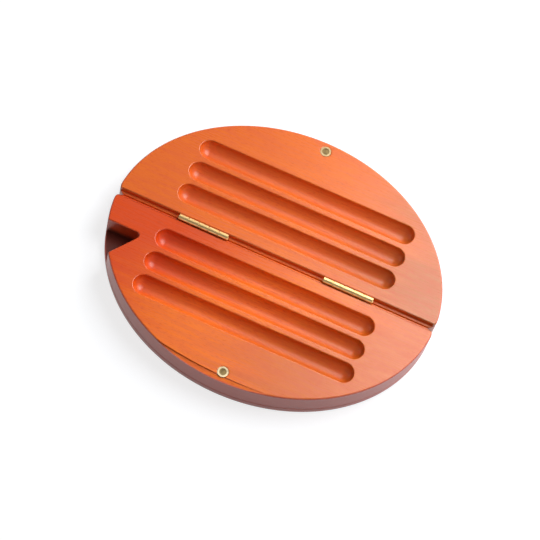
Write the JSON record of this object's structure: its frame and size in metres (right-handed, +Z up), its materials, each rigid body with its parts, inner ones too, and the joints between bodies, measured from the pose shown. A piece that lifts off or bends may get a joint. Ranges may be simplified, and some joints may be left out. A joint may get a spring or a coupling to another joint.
{
  "type": "hinged brush box",
  "caption": "Flat oval wooden box that opens on two butt hinges into two leaves with half-round grooves for pocket brushes, shut by magnets.",
  "frame": {"origin": "centre of the open box's outline, on the surface that it lies on", "axes": "+X along the hinge line, +Y from the base leaf towards the lid leaf, +Z up out of the grooved inner faces"},
  "size_m": [0.1798, 0.151, 0.0197],
  "materials": {
    "lacquered_board": "satin lacquer",
    "lacquered_plate": "satin lacquer",
    "hinge_brass": "polished",
    "pin_brass": "polished",
    "screw_brass": "polished",
    "cup_metal": "plated",
    "magnet_metal": "plated"
  },
  "bodies": {
    "base": {"base_board": "lacquered_board", "base_plate": "lacquered_plate", "base_hinge_leaf_left": "hinge_brass", "base_hinge_leaf_right": "hinge_brass", "hinge_pin_left": "pin_brass", "hinge_pin_right": "pin_brass", "base_hinge_screws": "screw_brass", "base_magnet_cup": "cup_metal", "base_magnet": "magnet_metal"},
    "lid": {"lid_board": "lacquered_board", "lid_plate": "lacquered_plate", "lid_hinge_leaf_left": "hinge_brass", "lid_hinge_leaf_right": "hinge_brass", "lid_hinge_screws": "screw_brass", "lid_magnet_cup": "cup_metal", "lid_magnet": "magnet_metal"}
  },
  "joints": [
    {"name": "lid_hinge", "type": "hinge", "parent": "base", "child": "lid", "pos_m": [0, 0, 0.01815], "axis": [1, 0, 0], "range_deg": [0, 180]}
  ]
}
